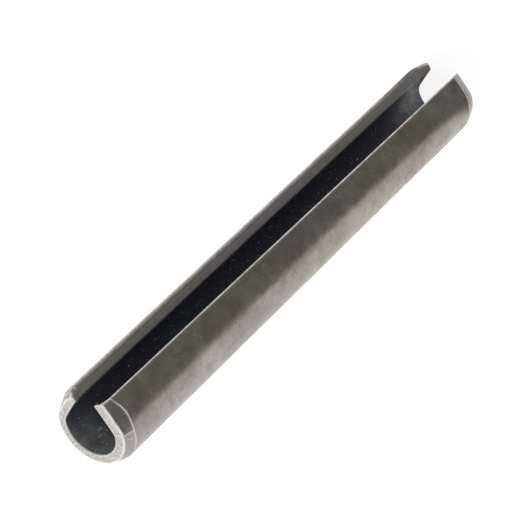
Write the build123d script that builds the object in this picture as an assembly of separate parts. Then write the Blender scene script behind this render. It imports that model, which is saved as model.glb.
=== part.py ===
from build123d import *
import math
import os

# Slotted spring pin: one strip of spring steel rolled into a tube that doesn't quite close, with both
# ends swaged to a short taper.  It stands on its lower end, on the plane z = 0, with its slot facing -Y,
# and the origin is on the tube's axis.  Sizes are in millimetres, and angles in degrees.

# barrel
length = 65.0
barrel_radius = 4.275
wall = 1.30
gap_outside = 4.20          # slot width between the outer corners of the lips
gap_inside = 3.40           # slot width between their inner corners
lip_round = 0.20            # rounding of the outer corner of each lip
bore_round = 0.12           # rounding of the inner corner of each lip

# swaged ends: a short taper all round, and a flat on each side of the slot
taper_top = 1.27            # length of the upper taper
taper_bottom = 1.40         # length of the lower taper
drop_outside = 0.415        # how far the taper draws the outside in
drop_inside = 0.08          # how far it draws the bore in
flat_angle = 57.0           # direction of each flat, from the slot
shoulder_outside = 77.0     # angle from the slot at which the outer flat runs out into the round back
shoulder_inside = 85.5      # the same for the inner flat
closing_outside = 0.25      # how much the taper closes the slot, outside
closing_inside = 1.30       # and inside

# rounded edges of the end faces, worked out in a few steps
edge_round = 0.16
edge_steps = 3

bore_radius = barrel_radius - wall


def place(z, across, out):
    """A point of the section at height z: across from the slot's middle plane, out towards the slot."""
    return Vector(across, -out, z)


def on_circle(radius, turn):
    """The point of a circle about the axis that lies turn degrees round from the slot, on the +X side."""
    return radius * math.sin(math.radians(turn)), radius * math.cos(math.radians(turn))


def lip_on_circle(radius, gap):
    """Corner of a lip of a round contour."""
    return gap / 2, math.sqrt(radius ** 2 - (gap / 2) ** 2)


def lip_on_flat(radius, shoulder, gap):
    """Corner of a lip of a contour whose flat runs from the shoulder up to the slot."""
    across, out = on_circle(radius, shoulder)
    slope = math.tan(math.radians(flat_angle))
    return gap / 2, out + (across - gap / 2) * slope


def contour(z, radius, shoulder, gap, is_flat):
    """Edges of one side of the wall, from the lip at -X round the back to the lip at +X."""
    turn_out = on_circle(radius, shoulder)
    back = Edge.make_three_point_arc(
        place(z, -turn_out[0], turn_out[1]), place(z, 0, -radius), place(z, *turn_out))
    if is_flat:
        lip = lip_on_flat(radius, shoulder, gap)
        right = Edge.make_line(place(z, -lip[0], lip[1]), place(z, -turn_out[0], turn_out[1]))
        left = Edge.make_line(place(z, *turn_out), place(z, *lip))
    else:
        lip = lip_on_circle(radius, gap)
        middle = on_circle(radius, (math.degrees(math.atan2(*lip)) + shoulder) / 2)
        right = Edge.make_three_point_arc(
            place(z, -lip[0], lip[1]), place(z, -middle[0], middle[1]), place(z, -turn_out[0], turn_out[1]))
        left = Edge.make_three_point_arc(place(z, *turn_out), place(z, *middle), place(z, *lip))
    return [right, back, left]


def round_corners(face, radius, points):
    """Rounds the corners of a face that lie at the given points."""
    corners = [min(face.vertices(), key=lambda corner: (Vector(corner) - point).length) for point in points]
    return face.fillet_2d(radius, corners)


def section(z, outer, inner, is_flat):
    """Closed outline of the wall at height z.  outer and inner are (radius, shoulder, slot width)."""
    outside = contour(z, *outer, is_flat)
    inside = contour(z, *inner, is_flat)
    lips = [
        Edge.make_line(outside[2] @ 1, inside[2] @ 1),
        Edge.make_line(inside[0] @ 0, outside[0] @ 0),
    ]
    face = Face(Wire(outside + lips + inside))
    face = round_corners(face, lip_round, [outside[0] @ 0, outside[2] @ 1])
    face = round_corners(face, bore_round, [inside[0] @ 0, inside[2] @ 1])
    return face.outer_wire()


def barrel_section(z):
    """Round section between the tapers."""
    outer = (barrel_radius, shoulder_outside, gap_outside)
    inner = (bore_radius, shoulder_inside, gap_inside)
    return section(z, outer, inner, False)


def end_section(z, inset):
    """Section near an end face, drawn in all round by inset."""
    end_gap_outside = gap_outside - closing_outside
    end_gap_inside = gap_inside - closing_inside
    outer = (barrel_radius - drop_outside - inset, shoulder_outside, end_gap_outside + 2 * inset)
    inner = (bore_radius - drop_inside + inset, shoulder_inside, end_gap_inside + 2 * inset)
    return section(z, outer, inner, True)


def swaged_end(tip, way, taper):
    """Sections of one end, from its face inwards.  way is the direction of the barrel along Z."""
    sections = []
    for step in range(edge_steps + 1):
        turn = math.pi / 2 * step / edge_steps
        depth = edge_round * (1 - math.cos(turn))
        inset = edge_round * (1 - math.sin(turn))
        sections.append(end_section(tip + way * depth, inset))
    sections.append(barrel_section(tip + way * taper))
    return sections


def spring_pin():
    """The whole pin: straight stretches between the sections of its two ends."""
    bottom = swaged_end(0.0, 1, taper_bottom)
    top = swaged_end(length, -1, taper_top)
    return Solid.make_loft(bottom + top[::-1], ruled=True)


pin = spring_pin()
pin.label = "spring_pin"
os.makedirs("parts", exist_ok=True)
export_step(pin, "parts/spring_pin.step")
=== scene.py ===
import math

import bpy
import numpy as np
from mathutils import Matrix, Vector


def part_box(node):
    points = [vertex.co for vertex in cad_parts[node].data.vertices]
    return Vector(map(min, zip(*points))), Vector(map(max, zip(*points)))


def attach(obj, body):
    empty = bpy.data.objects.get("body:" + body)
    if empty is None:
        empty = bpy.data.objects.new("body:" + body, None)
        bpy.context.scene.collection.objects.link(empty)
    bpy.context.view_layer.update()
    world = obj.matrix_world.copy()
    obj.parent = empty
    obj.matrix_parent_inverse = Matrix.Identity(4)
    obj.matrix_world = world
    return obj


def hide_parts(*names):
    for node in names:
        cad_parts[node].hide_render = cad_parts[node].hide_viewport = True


bl_info = {
    "name": "Spring pin",
    "version": (1, 0, 0),
    "blender": (4, 5, 0),
    "location": "View3D > Sidebar > Spring pin",
    "description": "A slotted spring pin of rolled spring steel, standing on a pale studio floor",
    "category": "Object",
}

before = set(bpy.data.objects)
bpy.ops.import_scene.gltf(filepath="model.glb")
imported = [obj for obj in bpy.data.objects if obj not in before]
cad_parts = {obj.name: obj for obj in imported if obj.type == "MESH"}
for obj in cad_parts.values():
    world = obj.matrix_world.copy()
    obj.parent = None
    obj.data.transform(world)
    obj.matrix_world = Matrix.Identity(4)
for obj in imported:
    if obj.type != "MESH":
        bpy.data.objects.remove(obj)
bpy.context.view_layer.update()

# The pin stands on z = 0 with its axis on Z and its slot facing -Y.  Angles round the section are measured
# from the slot, and run by -X round the back to +X.  The back of the barrel is where the CAD pin reaches
# furthest in Y, so that reach is the barrel's radius.
NODE = "spring_pin"
MM = 0.001
LOW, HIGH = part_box(NODE)
LENGTH = HIGH.z
BARREL_RADIUS = HIGH.y


# ------------------------------------------------------------------ sizes and colours

class PinSizes(bpy.types.PropertyGroup):
    """Sizes of the rolled strip and of its two swaged ends."""
    wall: bpy.props.FloatProperty(
        name="Wall", description="Thickness of the strip", default=1.30 * MM, unit="LENGTH")
    slot_outside: bpy.props.FloatProperty(
        name="Slot outside", description="Slot width between the lips' outer corners",
        default=4.20 * MM, unit="LENGTH")
    slot_inside: bpy.props.FloatProperty(
        name="Slot inside", description="Slot width between the lips' inner corners",
        default=3.40 * MM, unit="LENGTH")
    slot_lean_top: bpy.props.FloatProperty(
        name="Slot lean at the top",
        description="Turn of the lip at -X away from its true place, at the top",
        default=math.radians(-2.0), unit="ROTATION")
    slot_lean_bottom: bpy.props.FloatProperty(
        name="Slot lean at the bottom", description="The same turn at the bottom",
        default=math.radians(4.4), unit="ROTATION")
    taper_top: bpy.props.FloatProperty(
        name="Upper taper", description="Length of the upper swage", default=1.27 * MM, unit="LENGTH")
    taper_bottom: bpy.props.FloatProperty(
        name="Lower taper", description="Length of the lower swage", default=1.40 * MM, unit="LENGTH")
    drop_outside: bpy.props.FloatProperty(
        name="Drop outside", description="How far the swage draws the outside in",
        default=0.415 * MM, unit="LENGTH")
    drop_inside: bpy.props.FloatProperty(
        name="Drop inside", description="How far the swage draws the bore in",
        default=0.08 * MM, unit="LENGTH")
    closing_outside: bpy.props.FloatProperty(
        name="Closing outside", description="How much the swage closes the slot, outside",
        default=0.25 * MM, unit="LENGTH")
    closing_inside: bpy.props.FloatProperty(
        name="Closing inside", description="How much the swage closes the slot, inside",
        default=1.30 * MM, unit="LENGTH")
    flat_angle: bpy.props.FloatProperty(
        name="Flat direction", description="Direction of the flat beside the slot, from the slot",
        default=math.radians(57.0), unit="ROTATION")
    shoulder_outside: bpy.props.FloatProperty(
        name="Outer shoulder", description="Angle from the slot where the outer flat meets the round back",
        default=math.radians(77.0), unit="ROTATION")
    shoulder_inside: bpy.props.FloatProperty(
        name="Inner shoulder", description="Angle from the slot where the inner flat meets the round bore",
        default=math.radians(85.5), unit="ROTATION")
    edge_round: bpy.props.FloatProperty(
        name="Edge round", description="Rounding of the end faces' edges", default=0.16 * MM, unit="LENGTH")
    crease_round: bpy.props.FloatProperty(
        name="Crease round", description="Softness of the crease between swage and barrel",
        default=0.05 * MM, unit="LENGTH")
    lip_round: bpy.props.FloatProperty(
        name="Lip round", description="Rounding of the lips' outer corners",
        default=0.26 * MM, unit="LENGTH")
    bore_round: bpy.props.FloatProperty(
        name="Bore round", description="Rounding of the lips' inner corners",
        default=0.12 * MM, unit="LENGTH")
    lip_sink: bpy.props.FloatProperty(
        name="Lip sink", description="How far the rolled strip's lips lie inside the true circle",
        default=0.08 * MM, unit="LENGTH")
    flat_blend: bpy.props.FloatProperty(
        name="Flat blend", description="Softness of the shoulder between the outer flat and the back",
        default=0.015 * MM, unit="LENGTH")
    bore_blend: bpy.props.FloatProperty(
        name="Bore blend", description="Softness of the shoulder between the inner flat and the bore",
        default=0.07 * MM, unit="LENGTH")
    bore_shift: bpy.props.FloatProperty(
        name="Bore shift", description="How far the swage pushes the upper mouth of the bore towards +X",
        default=0.17 * MM, unit="LENGTH")
    hook_bottom: bpy.props.FloatProperty(
        name="Lower hook", description="Share of the inner closing that the lower end has",
        default=0.35, min=0.0, max=1.0)
    tip_reach: bpy.props.FloatProperty(
        name="Tip reach",
        description="How much further the lower tip of the lip at +X reaches over the slot",
        default=0.38 * MM, unit="LENGTH")
    face_dish: bpy.props.FloatProperty(
        name="Face dish", description="How far the middle of the end faces lies below their edges",
        default=0.05 * MM, unit="LENGTH")


class PinFinish(bpy.types.PropertyGroup):
    """Colours of the steel, and of the painted highlights, sheen and shade on it."""
    steel: bpy.props.FloatVectorProperty(
        name="Steel", description="Colour of the rolled surface", subtype="COLOR", size=3,
        default=(0.415, 0.375, 0.345), min=0.0, max=1.0)
    stain: bpy.props.FloatVectorProperty(
        name="Stain", description="Colour of its darker brown mottling", subtype="COLOR", size=3,
        default=(0.30, 0.263, 0.232), min=0.0, max=1.0)
    # Bright colour for worn edges and chips, and for the painted highlights on the lips' edges, the crease,
    # the end faces' edges, the shoulder and the swages.
    worn_and_highlight: bpy.props.FloatVectorProperty(
        name="Worn edge", description="Colour of the bright worn edges", subtype="COLOR", size=3,
        default=(0.92, 0.90, 0.87), min=0.0, max=1.0)
    cut: bpy.props.FloatVectorProperty(
        name="Cut", description="Colour of the sheared faces of the lips", subtype="COLOR", size=3,
        default=(0.205, 0.190, 0.180), min=0.0, max=1.0)
    # Painted sheen: this paler colour stands in for light on the bore just inside its ends.
    mouth: bpy.props.FloatVectorProperty(
        name="Mouth", description="Colour of the rubbed bore just inside its mouths",
        subtype="COLOR", size=3, default=(0.20, 0.205, 0.20), min=0.0, max=1.0)
    # This dark colour also paints the shade line along the shoulder.
    scale: bpy.props.FloatVectorProperty(
        name="Scale", description="Colour of the dark scale in the bore", subtype="COLOR", size=3,
        default=(0.055, 0.060, 0.078), min=0.0, max=1.0)


class StageSettings(bpy.types.PropertyGroup):
    """Floor, light and camera."""
    floor_size: bpy.props.FloatProperty(
        name="Floor size", description="Side of the square floor", default=4.0, unit="LENGTH")
    camera_place: bpy.props.FloatVectorProperty(
        name="Camera place", description="Where the camera stands", subtype="TRANSLATION", size=3,
        default=(-0.135787, -0.150870, 0.209839))
    camera_target: bpy.props.FloatVectorProperty(
        name="Camera target", description="The point it looks at", subtype="TRANSLATION", size=3,
        default=(0.0000318, -0.0000286, 0.0354968))
    camera_roll: bpy.props.FloatProperty(
        name="Camera roll", description="Its turn about its own line of sight",
        default=math.radians(-133.74), unit="ROTATION")
    lens: bpy.props.FloatProperty(
        name="Lens", description="Focal length in millimetres, on a 36 mm sensor", default=181.43)
    sky_above: bpy.props.FloatProperty(
        name="Room light", description="Brightness of the room on the slot's side of the pin",
        default=0.185, min=0.0)


# ------------------------------------------------------------------ the pin's surface

def from_slot(turn):
    """Angle from the slot to a turn round the section, either way round, in radians."""
    return np.minimum(turn, 2 * np.pi - turn)


def bump(value, centre, width):
    """A smooth hump of height 1 at centre: e to the minus square of the distance over the width."""
    return np.exp(-((value - centre) / width) ** 2)


def side_bump(turn, centre, width):
    """A hump beside the slot, the same on both sides, with its angle from the slot and width in degrees."""
    return bump(from_slot(turn), np.radians(centre), np.radians(width))


def turn_of(points):
    """The turn from the slot at which points of the section lie, from 0 to a full circle."""
    return np.mod(np.arctan2(-points[..., 0], -points[..., 1]), 2 * np.pi)


def flat_distance(radius, sizes, shoulder):
    """Distance from the axis to a flat that leaves the circle of that radius at the shoulder."""
    return radius * np.cos(shoulder - sizes.flat_angle)


def swaged_radius(turn, radius, sizes, shoulder, blend):
    """Radius of a swaged contour: a circle, with a straight flat on each side of the slot.

    At an angle a from the slot a flat lies at its distance from the axis divided by the cosine of a less
    the flat's direction.  Past the flat's middle the contour is the soft minimum of flat and circle, which
    is minus the blend times the logarithm of the sum of e to the minus each over the blend.
    """
    angle = from_slot(turn)
    flat = flat_distance(radius, sizes, shoulder) / np.cos(np.minimum(angle - sizes.flat_angle, 1.4))
    soft = -blend * np.logaddexp(-flat / blend, -radius / blend)
    return np.where(angle < sizes.flat_angle, flat, soft)


def corner_on_circle(radius, gap):
    """Angle from the slot at which a circle is half the gap away from the slot's middle plane."""
    return np.arcsin(gap / 2 / radius)


def corner_on_flat(radius, sizes, shoulder, gap):
    """The same angle on a flat: its tangent is half the gap times the cosine of the flat's direction,
    over the flat's distance less half the gap times the sine of that direction."""
    distance = flat_distance(radius, sizes, shoulder)
    return np.arctan2(gap / 2 * np.cos(sizes.flat_angle), distance - gap / 2 * np.sin(sizes.flat_angle))


def soft_ramp(x, softness):
    """Rises from 0 to 1 as x does, then stays at 1: x less the softened part of x above 1."""
    return x - softness * np.logaddexp(0.0, (x - 1.0) / softness)


EDGE_ROWS, TAPER_ROWS, BARREL_ROWS, FACE_ROWS = 8, 22, 62, 4
BACK_COLUMNS, CORNER_COLUMNS, LIP_COLUMNS = 250, 7, 6
TAPER_REACH = 1.5          # the taper's rows go on past the crease by this factor
FACE_REACH = 0.94          # share of the way to the wall's middle at which the end faces' first row lies

# How the rolled strip departs from true circles and level creases.  Angles from the slot are in degrees.
LIP_ANGLE = 27.0           # about where the lips' outer corners lie
CREASE_LIFT = 0.16         # share of the taper by which the crease rises at the lips
CREASE_DIP = 0.06          # share of the taper by which it falls a little further round
LIP_SOFTENING = 4          # how many times its own softness the lower crease gains at the lips
WORN_REACH = 0.42 * MM     # depth of the worn corner on the upper end of the lip at +X
WORN_SLOPE = 0.75          # inset of that corner for each unit of its depth
RING_CLEAR = 1.05          # share of the barrel's radius of a ring that leaves the upper end as it is
RING_DROP = 0.7            # share of the outside drop at which a ring holds the lower end in
RING_BLEND = 0.06 * MM     # softness of the meeting of end and ring
FLANK_SINK = 0.012         # share of its radius by which the barrel's flanks lie inside the true circle


def one_end(sizes):
    """Depth below the end face, inset and share of the way to the wall's middle, for the rows of one end.

    The first rows lie on the end face, and come from near the wall's middle out to its edges.  The next
    are a quarter circle: at an angle a the depth is the round times one less the cosine of a, and the inset
    is the round times one less the sine of a.  The last cross the taper and run up the barrel.
    """
    turn = np.linspace(0.0, np.pi / 2, EDGE_ROWS)
    edge_depth = sizes.edge_round * (1 - np.cos(turn))
    edge_inset = sizes.edge_round * (1 - np.sin(turn))
    taper_end = TAPER_REACH * max(sizes.taper_top, sizes.taper_bottom)
    taper_depth = np.linspace(sizes.edge_round, taper_end, TAPER_ROWS)[1:]
    barrel_depth = np.linspace(taper_end, LENGTH / 2, BARREL_ROWS // 2 + 1)[1:]
    shares = np.linspace(FACE_REACH, 0.0, FACE_ROWS + 1)[:-1]
    depth = np.concatenate([np.zeros(FACE_ROWS), edge_depth, taper_depth, barrel_depth])
    inset = np.concatenate([np.full(FACE_ROWS, sizes.edge_round), edge_inset,
                            np.zeros(len(taper_depth) + len(barrel_depth))])
    share = np.concatenate([shares, np.zeros(len(depth) - FACE_ROWS)])
    return depth, inset, share


def both_ends(sizes):
    """Rows of the whole pin from the top face to the bottom one, as columns of an array."""
    depth, inset, share = one_end(sizes)
    down = np.concatenate([depth, LENGTH - depth[:-1][::-1]])
    inset = np.concatenate([inset, inset[:-1][::-1]])
    share = np.concatenate([share, share[:-1][::-1]])
    return down[:, None], inset[:, None], share[:, None]


class Wall:
    """The radii and the lips of the pin's wall, row by row, as functions of the turn from the slot."""

    def __init__(self, sizes, down, inset, on_face):
        self.sizes = sizes
        self.on_face = on_face
        self.inset = inset
        self.is_top = down < LENGTH / 2
        self.depth = np.minimum(down, LENGTH - down)
        self.share = down / LENGTH
        self.taper = np.where(self.is_top, sizes.taper_top, sizes.taper_bottom)
        self.bore_radius = BARREL_RADIUS - sizes.wall

    def crease_depth(self, turn):
        """Depth of the crease, which runs nearer to the face at the lips and further off beside them."""
        lift = CREASE_LIFT * side_bump(turn, LIP_ANGLE, 16.0)
        dip = CREASE_DIP * side_bump(turn, 55.0, 12.0)
        return self.taper * (1.0 - lift + dip)

    def opening(self, turn):
        """How far the swage has opened to the barrel: 0 at the face and 1 past the crease, which is softer
        near the lips of the lower end."""
        lips = side_bump(turn, LIP_ANGLE, 14.0) * (1 - self.is_top)
        softness = self.sizes.crease_round * (1 + LIP_SOFTENING * lips) / self.taper
        return soft_ramp(self.depth / self.crease_depth(turn), softness)

    def worn_corner(self, turn):
        """Extra inset of a worn corner on the lip at +X, where its edge meets the top face."""
        reach = WORN_REACH * bump(turn, np.radians(360.0 - 31.0), np.radians(9.0)) * self.is_top
        return np.maximum(reach - self.depth, 0.0) * WORN_SLOPE

    def outer(self, turn):
        """Radius of the outside.  The lower end is the soft minimum of its contour and a ring, which keeps
        its long tip inside the CAD pin's box."""
        sizes = self.sizes
        end = swaged_radius(
            turn, BARREL_RADIUS - sizes.drop_outside, sizes, sizes.shoulder_outside, sizes.flat_blend)
        held_in = BARREL_RADIUS - RING_DROP * sizes.drop_outside
        ring = np.where(self.is_top, RING_CLEAR * BARREL_RADIUS, held_in)
        end = -RING_BLEND * np.logaddexp(-end / RING_BLEND, -ring / RING_BLEND)
        sink = sizes.lip_sink * side_bump(turn, 24.0, 13.0)
        flank = FLANK_SINK * BARREL_RADIUS * side_bump(turn, 84.0, 14.0)
        barrel = BARREL_RADIUS - sink - flank
        return end + (barrel - end) * self.opening(turn) - self.inset - self.worn_corner(turn)

    def inner(self, turn):
        """Radius of the bore."""
        sizes = self.sizes
        end = swaged_radius(
            turn, self.bore_radius - sizes.drop_inside, sizes, sizes.shoulder_inside, sizes.bore_blend)
        return end + (self.bore_radius - end) * self.opening(turn) + self.inset

    def lip(self, at_plus_x, is_outside):
        """Angle from the slot of a lip's corner.  The lip at -X leans, so the slot isn't quite even."""
        sizes = self.sizes
        if is_outside:
            radius, drop, shoulder = BARREL_RADIUS, sizes.drop_outside, sizes.shoulder_outside
            gap, closing = sizes.slot_outside, sizes.closing_outside
        else:
            radius, drop, shoulder = self.bore_radius, sizes.drop_inside, sizes.shoulder_inside
            gap, closing = sizes.slot_inside, sizes.closing_inside
            closing = closing * np.where(self.is_top, 1.0, sizes.hook_bottom)
        if at_plus_x:
            closing = closing + 2 * sizes.tip_reach * (1 - self.is_top)
        end = corner_on_flat(radius - drop, sizes, shoulder, gap - closing)
        barrel = corner_on_circle(radius, gap)
        angle = end + (barrel - end) * self.opening(barrel) + self.inset / radius
        if at_plus_x:
            return angle
        return angle + sizes.slot_lean_top + (sizes.slot_lean_bottom - sizes.slot_lean_top) * self.share


def on_section(radius, turn):
    """Points of the section from radius and turn: across is minus radius times the sine of the turn, and
    towards the slot, at -Y, is radius times its cosine."""
    return np.stack([-radius * np.sin(turn), -radius * np.cos(turn)], axis=-1)


def rounded_corner(before, corner, after):
    """A corner drawn as a quadratic curve: its points are weighted by (1 - t) squared, 2 t (1 - t) and
    t squared as t runs from 0 to 1."""
    t = np.linspace(0.0, 1.0, CORNER_COLUMNS)[None, :, None]
    return (1 - t) ** 2 * before + 2 * t * (1 - t) * corner + t ** 2 * after


def towards(start, end, distance):
    """The point that lies a distance from start on the way to end."""
    way = end - start
    return start + way * distance / np.linalg.norm(way, axis=-1, keepdims=True)


def lip_points(wall, at_plus_x):
    """A lip from its outer corner to its inner one, and the turns at which the corners' curves begin."""
    sizes = wall.sizes
    outer_angle, inner_angle = wall.lip(at_plus_x, True), wall.lip(at_plus_x, False)
    outer_start = outer_angle + sizes.lip_round / BARREL_RADIUS
    inner_start = inner_angle + sizes.bore_round / wall.bore_radius
    if at_plus_x:
        outer_angle, inner_angle, outer_start, inner_start = (
            2 * np.pi - angle for angle in (outer_angle, inner_angle, outer_start, inner_start))
    outer = on_section(wall.outer(outer_angle), outer_angle)
    inner = on_section(wall.inner(inner_angle), inner_angle)
    face_top, face_bottom = towards(outer, inner, sizes.lip_round), towards(inner, outer, sizes.bore_round)
    first = rounded_corner(on_section(wall.outer(outer_start), outer_start), outer, face_top)
    last = rounded_corner(face_bottom, inner, on_section(wall.inner(inner_start), inner_start))
    t = np.linspace(0.0, 1.0, 2 * LIP_COLUMNS + 1)[None, 1:-1, None]
    face = face_top + (face_bottom - face_top) * t
    return np.concatenate([first, face, last], axis=1), outer_start, inner_start


def halves(right, outside, left, inside):
    """Joins the lips, the outside and the bore into the outer and the inner half of the loop, which both
    run from the middle of the lip at -X to the middle of the lip at +X.  Both hold the lips' middle points,
    so the quads between the halves have no area there."""
    middle = right.shape[1] // 2
    outer_half = np.concatenate([right[:, :middle + 1][:, ::-1], outside, left[:, :middle + 1]], axis=1)
    inner_half = np.concatenate([right[:, middle:], inside, left[:, middle:][:, ::-1]], axis=1)
    return outer_half, inner_half


def around(lip, outside, inside):
    """A value at each place round the loop, from its values over a lip, the outside and the bore."""
    back = np.ones((1, BACK_COLUMNS - 2))
    outer_half, inner_half = halves(lip[None], outside * back, lip[None], inside * back)
    return np.concatenate([outer_half, inner_half[:, ::-1]], axis=1)


EDGE_DEPTH, EDGE_FADE = 0.04 * MM, 0.07 * MM   # where the worn and painted highlight line of an end face's edge lies, and its width
CREASE_FADE = 0.055        # width of the painted highlight along the crease, as a share of the crease's depth
SHOULDER_FADE = 1.3        # width of the painted shade and highlight lines along the shoulder, in degrees
SHOULDER_HIGHLIGHT = 0.7        # painted highlight along the shoulder, from 0 to 1, and wear and painted highlight of the corners below it
INNER_CORNER_WEAR_AND_HIGHLIGHT = 0.35
FAR_CORNER_WEAR_AND_HIGHLIGHT = 0.30     # of the outer corner of the lip at +X, next to 1 at -X
BORE_EDGE_LOSS = 0.35      # how much less the end faces' edges are worn and highlighted on the bore's side
SWAGE_HIGHLIGHT_TOP, SWAGE_HIGHLIGHT_BOTTOM = 0.10, 0.80   # how far the swages go towards the worn colour, as a painted highlight


def surface_marks(wall, points):
    """How each point of the surface is finished and painted, as values from 0 to 1.

    Scale covers the bore, and mouth a painted sheen on the stretch of it inside each end.  Cut is the
    sheared faces of the lips.  End face is the end faces, and swage the tapers beside them, which carry a
    painted highlight.  Line is a painted shade line along the shoulder.  Wear and highlight is partly worn
    steel and
    partly painted highlight: the largest of humps along the lips' corners and beside the lip at -X, along
    the crease, along the end faces' edges, at the worn tip and along the shoulder.
    """
    corner = np.sqrt(np.clip(np.sin(np.linspace(0.0, np.pi, CORNER_COLUMNS)), 0, 1))
    flat, none = np.ones(2 * LIP_COLUMNS - 1), np.zeros(2 * LIP_COLUMNS - 1)
    side = np.zeros(CORNER_COLUMNS)
    outer_corner = around(np.concatenate([corner, none, side]), 0.0, 0.0)
    inner_corner = around(np.concatenate([side, none, corner]), 0.0, 0.0)
    cut = around(np.concatenate([side, flat, corner * 0.5]), 0.0, 0.0)
    outside = around(np.concatenate([side + 1, none, side]), 1.0, 0.0)
    inside = around(np.concatenate([side, none, side + 1]), 0.0, 1.0)
    turn = turn_of(points)
    to_crease = wall.depth / wall.crease_depth(turn)
    face = bump(wall.depth, 0.0, EDGE_FADE)
    off_face = 1 - face
    # Painted highlight: a bright line along the crease.
    crease = outside * bump(to_crease, 1.0, CREASE_FADE)
    # Worn steel and painted highlight along the end faces' edges.
    edge = bump(wall.depth, EDGE_DEPTH, EDGE_FADE) * (1 - wall.on_face) * (1 - BORE_EDGE_LOSS * inside)
    swage = outside * np.clip(1 - to_crease, 0, 1) ** 0.25
    shoulder = swage * wall.is_top
    # Painted highlights: a bright line beside the lip at -X, and the lips' outer corners, brighter at -X
    # than at +X.
    beside_lip = outside * bump(turn, wall.lip(False, True), np.radians(2.6))
    outer_corner = outer_corner * np.where(turn < np.pi, 1.0, FAR_CORNER_WEAR_AND_HIGHLIGHT)
    worn_tip = bump(turn, np.radians(330.0), np.radians(4.0)) * bump(wall.depth, 0.2 * MM, 0.3 * MM)
    # Worn steel and painted highlights together.
    wear_and_highlight = np.maximum.reduce([
        outer_corner * off_face,
        beside_lip * off_face,
        INNER_CORNER_WEAR_AND_HIGHLIGHT * inner_corner * off_face,
        crease,
        edge,
        outside * worn_tip * wall.is_top,
        # Painted highlight along the upper shoulder.
        SHOULDER_HIGHLIGHT * shoulder * side_bump(turn, 83.0, SHOULDER_FADE),
    ])
    # Painted shade: a dark line along the upper shoulder, beside its painted highlight.
    line = shoulder * side_bump(turn, 79.5, SHOULDER_FADE)
    # Painted sheen in the bore: near the upper end on the side away from the slot, and near the lower end
    # towards +X.
    upper_mouth = wall.is_top * bump(wall.depth, 1.0 * MM, 3.2 * MM) / (
        1 + np.exp(-(from_slot(turn) - np.radians(112.0)) / np.radians(9.0)))
    lower_mouth = (1 - wall.is_top) * bump(wall.depth, 2.6 * MM, 2.4 * MM) * bump(
        turn, np.radians(262.0), np.radians(34.0))
    mouth = inside * (upper_mouth + lower_mouth)
    scale = around(np.concatenate([side, none, np.linspace(0, 1, CORNER_COLUMNS)]), 0.0, 1.0)
    fields = {
        "wear_and_highlight": wear_and_highlight,
        "cut": cut * off_face,
        "scale": scale * off_face,
        "end_face": face,
        # Painted highlight on the swages, strong on the lower one.
        "swage": swage * off_face * np.where(wall.is_top, SWAGE_HIGHLIGHT_TOP, SWAGE_HIGHLIGHT_BOTTOM),
        "line": line * off_face,
        "mouth": mouth * off_face,
    }
    return {name: np.broadcast_to(value, turn.shape) for name, value in fields.items()}


def pin_surface(sizes):
    """Points of the whole wall, as rows down the pin by places round a closed loop, how many of the places
    make up the outer half, and the marks of the finish.

    The loop runs from the middle of the lip at -X over its outer corner, round the back, over the lip at
    +X and back through the bore.  The first half of its places faces the second half across the wall.
    """
    down, inset, share = both_ends(sizes)
    wall = Wall(sizes, down, inset, share > 0)
    right, out_start, in_start = lip_points(wall, False)
    left, out_stop, in_stop = lip_points(wall, True)
    t = np.linspace(0.0, 1.0, BACK_COLUMNS)[None, 1:-1]
    out_turn, in_turn = out_start + (out_stop - out_start) * t, in_start + (in_stop - in_start) * t
    outside = on_section(wall.outer(out_turn), out_turn)
    inside = on_section(wall.inner(in_turn), in_turn)
    outer_half, inner_half = halves(right, outside, left, inside)
    pushed = sizes.bore_shift * (1 - wall.opening(turn_of(inner_half))) * wall.is_top
    inner_half = inner_half + np.stack([pushed, np.zeros_like(pushed)], axis=-1)
    middle = (outer_half + inner_half) / 2
    outer_half = outer_half + (middle - outer_half) * share[..., None]
    inner_half = inner_half + (middle - inner_half) * share[..., None]
    loop = np.concatenate([outer_half, inner_half[:, ::-1]], axis=1)
    loop[..., 1] = np.maximum(loop[..., 1], LOW.y)
    dish = sizes.face_dish * (1 - (1 - share) ** 2) * np.where(wall.is_top, -1.0, 1.0)
    height = np.broadcast_to(LENGTH - down + dish, loop.shape[:2])
    points = np.concatenate([loop, height[..., None]], axis=-1)
    return points, outer_half.shape[1], surface_marks(wall, points)


def loop_faces(rows, columns, half):
    """Quads between neighbouring rows of a closed loop, and the strips that close its two ends.

    Place i of the first half of the loop faces place columns - 1 - i of the second half.
    """
    row = np.arange(rows - 1)[:, None] * columns
    here = np.arange(columns)[None, :]
    after = (here + 1) % columns
    sides = np.stack([row + here, row + after, row + columns + after, row + columns + here], axis=-1)
    place = np.arange(half - 1)
    top = np.stack([place, columns - 1 - place, columns - 2 - place, place + 1], axis=-1)
    bottom = top[:, ::-1] + (rows - 1) * columns
    return np.concatenate([sides.reshape(-1, 4), top, bottom])


def signed_volume(points, faces):
    """Volume inside a closed mesh of quads, positive where the faces point outwards: a sixth of the sum of
    the triple products of each triangle's corners."""
    a, b, c, d = (points[faces[:, k]] for k in range(4))
    return ((np.cross(a, b) * c).sum() + (np.cross(a, c) * d).sum()) / 6


def mesh_object(name, points, faces, attributes):
    """An object at the origin with a mesh of quads and a value at each point for every attribute."""
    mesh = bpy.data.meshes.new(name)
    mesh.vertices.add(len(points))
    mesh.vertices.foreach_set("co", points.astype(np.float32).ravel())
    mesh.loops.add(faces.size)
    mesh.loops.foreach_set("vertex_index", faces.astype(np.int32).ravel())
    mesh.polygons.add(len(faces))
    mesh.polygons.foreach_set("loop_start", np.arange(0, faces.size, 4, dtype=np.int32))
    mesh.polygons.foreach_set("use_smooth", np.ones(len(faces), dtype=bool))
    mesh.update(calc_edges=True)
    for key, values in attributes.items():
        attribute = mesh.attributes.new(key, "FLOAT", "POINT")
        attribute.data.foreach_set("value", values.astype(np.float32).ravel())
    piece = bpy.data.objects.new(name, mesh)
    bpy.context.scene.collection.objects.link(piece)
    return piece


# ------------------------------------------------------------------ materials

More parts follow.
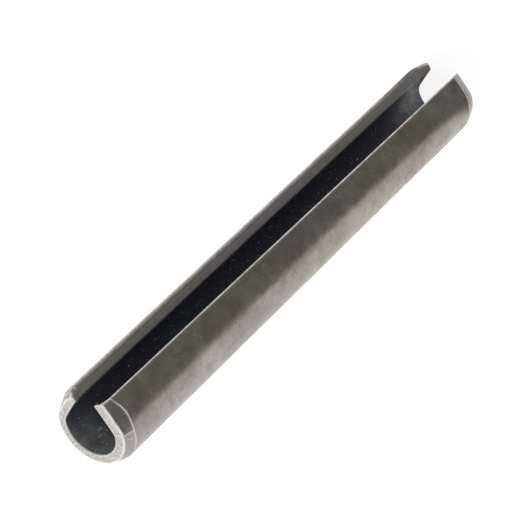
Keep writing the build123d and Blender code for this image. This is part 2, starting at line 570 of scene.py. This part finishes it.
class Nodes:
    """A material's node tree, with short ways to add nodes and link them."""

    def __init__(self, name):
        self.material = bpy.data.materials.new(name)
        self.material.use_nodes = True
        self.tree = self.material.node_tree
        self.tree.nodes.clear()

    def add(self, kind, values=(), **settings):
        """Adds a node, sets its properties, and sets or links its sockets from (socket, value) pairs."""
        node = self.tree.nodes.new(kind)
        for key, value in settings.items():
            setattr(node, key, value)
        for socket, value in values:
            if isinstance(value, bpy.types.NodeSocket):
                self.tree.links.new(value, node.inputs[socket])
            else:
                node.inputs[socket].default_value = value
        return node

    def noise(self, place, size, detail=3.0, roughness=0.5):
        """A noise of features of about that size, in metres, with its factor as the output."""
        return self.add("ShaderNodeTexNoise", [
            ("Vector", place), ("Scale", 1.0 / size), ("Detail", detail), ("Roughness", roughness),
        ]).outputs[0]

    def between(self, value, low, high, to_low=0.0, to_high=1.0):
        """Maps low..high smoothly to another range, and clamps outside it."""
        return self.add("ShaderNodeMapRange", [
            (0, value), (1, low), (2, high), (3, to_low), (4, to_high),
        ], interpolation_type="SMOOTHSTEP").outputs[0]

    def maths(self, operation, first, second):
        """One sum of two numbers or sockets."""
        return self.add("ShaderNodeMath", [(0, first), (1, second)], operation=operation).outputs[0]

    def mix(self, factor, first, second):
        """A colour between two colours."""
        node = self.add("ShaderNodeMix", [(0, factor)], data_type="RGBA")
        for socket, value in ((node.inputs[6], first), (node.inputs[7], second)):
            if isinstance(value, bpy.types.NodeSocket):
                self.tree.links.new(value, socket)
            else:
                socket.default_value = (*value, 1.0)
        return node.outputs[2]

    def attribute(self, name):
        """A value that the mesh holds at each point."""
        return self.add("ShaderNodeAttribute", attribute_name=name).outputs["Fac"]


def steel_material(colours):
    """Rolled spring steel: brown mottling, pits and grain, bright worn edges with painted highlights, dark
    scale in the bore with a painted sheen near its ends, a painted shade line on the shoulder and a painted
    highlight on the swages.
    """
    nodes = Nodes("spring_steel")
    place = nodes.add("ShaderNodeTexCoord").outputs["Object"]
    scale, face, wear_and_highlight, cut, swage, line, mouth = (
        nodes.attribute(name) for name in ("scale", "end_face", "wear_and_highlight", "cut", "swage", "line", "mouth"))

    mottle = nodes.between(nodes.noise(place, 1.6 * MM, 5.0, 0.62), 0.42, 0.70)
    patches = nodes.between(nodes.noise(place, 6.0 * MM, 3.0), 0.38, 0.66)
    grain = nodes.noise(place, 0.10 * MM, 2.0)
    pits = nodes.between(nodes.noise(place, 0.28 * MM, 2.0), 0.64, 0.70)
    chips = nodes.between(nodes.noise(place, 0.22 * MM, 1.0), 0.70, 0.75)
    # Patchiness of the wear and of the painted highlights.
    patchiness = nodes.between(nodes.noise(place, 0.8 * MM, 4.0), 0.34, 0.62, 0.72, 1.0)
    worn_and_highlight = nodes.maths("MULTIPLY", wear_and_highlight, patchiness)

    colour = nodes.mix(nodes.maths("MULTIPLY", mottle, 0.80), tuple(colours.steel), tuple(colours.stain))
    colour = nodes.mix(nodes.maths("MULTIPLY", patches, 0.65), colour, tuple(colours.stain))
    colour = nodes.mix(nodes.maths("MULTIPLY", pits, 0.35), colour, tuple(colours.scale))
    colour = nodes.mix(nodes.maths("MULTIPLY", chips, 0.50), colour, tuple(colours.worn_and_highlight))
    # Painted highlight on the swages.
    colour = nodes.mix(swage, colour, tuple(colours.worn_and_highlight))
    # Painted shade: the dark line along the upper shoulder.
    colour = nodes.mix(nodes.maths("MULTIPLY", line, 0.85), colour, tuple(colours.scale))
    colour = nodes.mix(cut, colour, tuple(colours.cut))
    colour = nodes.mix(scale, colour, tuple(colours.scale))
    # Painted sheen on the bore near its ends, broken up by noise.
    sheen_breakup = nodes.between(nodes.noise(place, 1.4 * MM, 4.0, 0.65), 0.30, 0.65, 0.25, 1.0)
    colour = nodes.mix(nodes.maths("MULTIPLY", mouth, sheen_breakup), colour, tuple(colours.mouth))
    dust = nodes.maths("MULTIPLY", nodes.maths("MULTIPLY", chips, scale), 0.8)
    colour = nodes.mix(dust, colour, tuple(colours.worn_and_highlight))
    texture = nodes.between(nodes.noise(place, 0.25 * MM, 4.0, 0.7), 0.32, 0.60, 0.10, 0.62)
    colour = nodes.mix(nodes.maths("MULTIPLY", face, texture), colour, tuple(colours.worn_and_highlight))
    # Worn edges and painted highlights, in the bright colour.
    colour = nodes.mix(worn_and_highlight, colour, tuple(colours.worn_and_highlight))

    dull = nodes.maths("MAXIMUM", nodes.maths("MULTIPLY", scale, 0.8), nodes.maths("MULTIPLY", cut, 0.95))
    # The worn edges with their painted highlights, and the swages with theirs, are made partly diffuse.
    dull = nodes.maths("MAXIMUM", dull, nodes.maths("MULTIPLY", worn_and_highlight, 0.95))
    dull = nodes.maths("MAXIMUM", dull, nodes.maths("MULTIPLY", face, 0.45))
    dull = nodes.maths("MAXIMUM", dull, nodes.maths("MULTIPLY", swage, 0.70))
    metal = nodes.maths("SUBTRACT", 1.0, dull)
    rough = nodes.between(nodes.noise(place, 1.1 * MM, 4.0), 0.30, 0.75, 0.26, 0.42)
    rough = nodes.maths("ADD", rough, nodes.maths("MULTIPLY", dull, 0.25))

    height = nodes.maths("ADD", nodes.maths("MULTIPLY", grain, 0.35), nodes.maths("MULTIPLY", pits, -0.5))
    waves = nodes.maths("MULTIPLY", nodes.noise(place, 2.2 * MM, 2.0), 1.2)
    height = nodes.maths("ADD", height, waves)
    normal = nodes.add("ShaderNodeBump", [("Height", height), ("Distance", 0.02 * MM), ("Strength", 0.6)])
    shader = nodes.add("ShaderNodeBsdfPrincipled", [
        ("Base Color", colour), ("Metallic", metal), ("Roughness", rough), ("Normal", normal.outputs[0]),
    ])
    nodes.add("ShaderNodeOutputMaterial", [("Surface", shader.outputs[0])])
    return nodes.material


ROOM_TURN = 0.25           # Y that the edge of the bright side of the room gives up for each unit of X
FLOOR_EDGE = 0.0015        # half the width of that edge on the floor, in metres
SKY_EDGE = 0.04            # half its width in the sky, as a length of the direction's vector
FLOOR_GREY = 0.18          # the floor's own colour, which only takes the lamp's light and the shadow
FLOOR_GLOW = 0.87          # what the camera sees added to it
FLOOR_SOFT = 0.85          # the glow that soft light takes from the floor


def floor_material():
    """A pale floor that looks white and keeps the pin's shadow.

    The camera sees a plain glow added to the lit floor.  Reflections see the floor bright behind the pin,
    and as dim as the room on its slot's side.
    """
    nodes = Nodes("studio_floor")
    place = nodes.add("ShaderNodeTexCoord").outputs["Object"]
    split = nodes.add("ShaderNodeSeparateXYZ", [("Vector", place)])
    path = nodes.add("ShaderNodeLightPath")
    turned = nodes.maths("ADD", split.outputs["Y"], nodes.maths("MULTIPLY", split.outputs["X"], ROOM_TURN))
    room_light = bpy.context.scene.stage_settings.sky_above
    mirrored = nodes.between(turned, -FLOOR_EDGE, FLOOR_EDGE, room_light, 1.0)
    lit = nodes.add("ShaderNodeBsdfDiffuse", [("Color", (FLOOR_GREY, FLOOR_GREY, FLOOR_GREY, 1.0))])
    glow = nodes.add("ShaderNodeEmission", [("Strength", FLOOR_GLOW)])
    seen = nodes.add("ShaderNodeAddShader", [(0, lit.outputs[0]), (1, glow.outputs[0])])
    mirror = nodes.add("ShaderNodeEmission", [("Strength", mirrored)])
    soft = nodes.add("ShaderNodeEmission", [("Strength", FLOOR_SOFT)])
    by_eye = nodes.add("ShaderNodeMixShader", [
        (0, path.outputs["Is Camera Ray"]), (1, soft.outputs[0]), (2, seen.outputs[0])])
    by_all = nodes.add("ShaderNodeMixShader", [
        (0, path.outputs["Is Glossy Ray"]), (1, by_eye.outputs[0]), (2, mirror.outputs[0])])
    nodes.add("ShaderNodeOutputMaterial", [("Surface", by_all.outputs[0])])
    return nodes.material


def studio_world():
    """White for the camera and for soft light.  Reflections see it white behind the pin, and as dim as the
    room on its slot's side."""
    world = bpy.data.worlds.new("studio")
    bpy.context.scene.world = world
    world.use_nodes = True
    tree = world.node_tree
    tree.nodes.clear()
    output = tree.nodes.new("ShaderNodeOutputWorld")
    light, white, join = (tree.nodes.new(kind) for kind in (
        "ShaderNodeBackground", "ShaderNodeBackground", "ShaderNodeMixShader"))
    path = tree.nodes.new("ShaderNodeLightPath")
    place = tree.nodes.new("ShaderNodeTexCoord")
    split = tree.nodes.new("ShaderNodeSeparateXYZ")
    spread = tree.nodes.new("ShaderNodeMapRange")
    spread.interpolation_type = "SMOOTHSTEP"
    room_light = bpy.context.scene.stage_settings.sky_above
    for socket, value in ((1, -SKY_EDGE), (2, SKY_EDGE), (3, room_light), (4, 1.0)):
        spread.inputs[socket].default_value = value
    white.inputs["Strength"].default_value = 1.0
    tree.links.new(place.outputs["Generated"], split.inputs[0])
    turned = tree.nodes.new("ShaderNodeMath")
    turned.operation = "MULTIPLY_ADD"
    turned.inputs[1].default_value = ROOM_TURN
    tree.links.new(split.outputs["X"], turned.inputs[0])
    tree.links.new(split.outputs["Y"], turned.inputs[2])
    tree.links.new(turned.outputs[0], spread.inputs[0])
    tree.links.new(spread.outputs[0], light.inputs["Strength"])
    tree.links.new(path.outputs["Is Glossy Ray"], join.inputs[0])
    tree.links.new(white.outputs[0], join.inputs[1])
    tree.links.new(light.outputs[0], join.inputs[2])
    tree.links.new(join.outputs[0], output.inputs[0])


# ------------------------------------------------------------------ stage

KEY_PLACE, KEY_SIZE, KEY_POWER = (0.35, 0.45, 0.55), 0.5, 3.0   # in metres and watts
SENSOR_WIDTH = 36.0        # millimetres
NEAREST, FURTHEST = 0.005, 50.0   # distances between which the camera sees


def area_light(name, place, target, size, power):
    """A square lamp at a place, turned to a target, which reflections don't see."""
    lamp = bpy.data.lights.new(name, "AREA")
    lamp.size, lamp.energy = size, power
    holder = bpy.data.objects.new(name, lamp)
    holder.location = place
    holder.visible_glossy = False
    holder.rotation_euler = (Vector(target) - Vector(place)).to_track_quat("-Z", "Y").to_euler()
    bpy.context.scene.collection.objects.link(holder)
    return holder


def square_floor(side):
    """A square of that side on z = 0, as a grid of one quad."""
    across = np.array([-0.5, 0.5]) * side
    x, y = np.meshgrid(across, across)
    points = np.stack([x, y, np.zeros_like(x)], axis=-1).reshape(-1, 3)
    return mesh_object("studio_floor", points, np.array([[0, 1, 3, 2]]), {})


def studio_camera(settings):
    """The camera, at its place and turned to its target, then rolled about its line of sight."""
    camera = bpy.data.objects.new("camera", bpy.data.cameras.new("camera"))
    camera.data.lens = settings.lens
    camera.data.sensor_width = SENSOR_WIDTH
    camera.data.clip_start, camera.data.clip_end = NEAREST, FURTHEST
    way = Vector(settings.camera_target) - Vector(settings.camera_place)
    facing = way.to_track_quat("-Z", "Y").to_matrix().to_4x4()
    turned = facing @ Matrix.Rotation(settings.camera_roll, 4, "Z")
    camera.matrix_world = Matrix.Translation(Vector(settings.camera_place)) @ turned
    bpy.context.scene.collection.objects.link(camera)
    bpy.context.scene.camera = camera


class SPRINGPIN_OT_pin(bpy.types.Operator):
    """Make the pin: one strip of spring steel, rolled to a slotted tube with swaged ends"""
    bl_idname = "spring_pin.pin"
    bl_label = "Pin"

    def execute(self, context):
        sizes = context.scene.pin_sizes
        grid, half, marks = pin_surface(sizes)
        rows, columns = grid.shape[:2]
        faces = loop_faces(rows, columns, half)
        points = grid.reshape(-1, 3)
        if signed_volume(points, faces) <= 0:
            raise RuntimeError("the pin's surface is inside out")
        piece = mesh_object("rolled_pin", points, faces, marks)
        piece.data.materials.append(steel_material(context.scene.pin_finish))
        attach(piece, "root")
        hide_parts(NODE)
        return {"FINISHED"}


class SPRINGPIN_OT_stage(bpy.types.Operator):
    """Make the pale floor, the soft light and the camera"""
    bl_idname = "spring_pin.stage"
    bl_label = "Stage"

    def execute(self, context):
        settings = context.scene.stage_settings
        floor = square_floor(settings.floor_size)
        floor.data.materials.append(floor_material())
        studio_world()
        area_light("key_light", KEY_PLACE, (0, 0, LENGTH / 2), KEY_SIZE, KEY_POWER)
        studio_camera(settings)
        context.scene.view_settings.view_transform = "Standard"
        return {"FINISHED"}


class SPRINGPIN_PT_panel(bpy.types.Panel):
    """Lists the pin's sizes and colours and the operators that make the scene"""
    bl_label = "Spring pin"
    bl_idname = "SPRINGPIN_PT_panel"
    bl_space_type = "VIEW_3D"
    bl_region_type = "UI"
    bl_category = "Spring pin"

    def draw(self, context):
        layout = self.layout
        for group in (context.scene.pin_sizes, context.scene.pin_finish, context.scene.stage_settings):
            for name in group.__annotations__:
                layout.prop(group, name)
        for operator in OPERATORS:
            layout.operator(operator.bl_idname)


OPERATORS = (SPRINGPIN_OT_stage, SPRINGPIN_OT_pin)
CLASSES = (PinSizes, PinFinish, StageSettings, *OPERATORS, SPRINGPIN_PT_panel)


def register():
    """Registers the classes and gives the scene its settings."""
    for kind in CLASSES:
        bpy.utils.register_class(kind)
    bpy.types.Scene.pin_sizes = bpy.props.PointerProperty(type=PinSizes)
    bpy.types.Scene.pin_finish = bpy.props.PointerProperty(type=PinFinish)
    bpy.types.Scene.stage_settings = bpy.props.PointerProperty(type=StageSettings)


def unregister():
    """Takes the settings and the classes away again."""
    del bpy.types.Scene.pin_sizes, bpy.types.Scene.pin_finish, bpy.types.Scene.stage_settings
    for kind in reversed(CLASSES):
        bpy.utils.unregister_class(kind)


def main():
    """Makes the whole scene."""
    register()
    bpy.ops.spring_pin.stage()
    bpy.ops.spring_pin.pin()


if __name__ == "__main__":
    main()
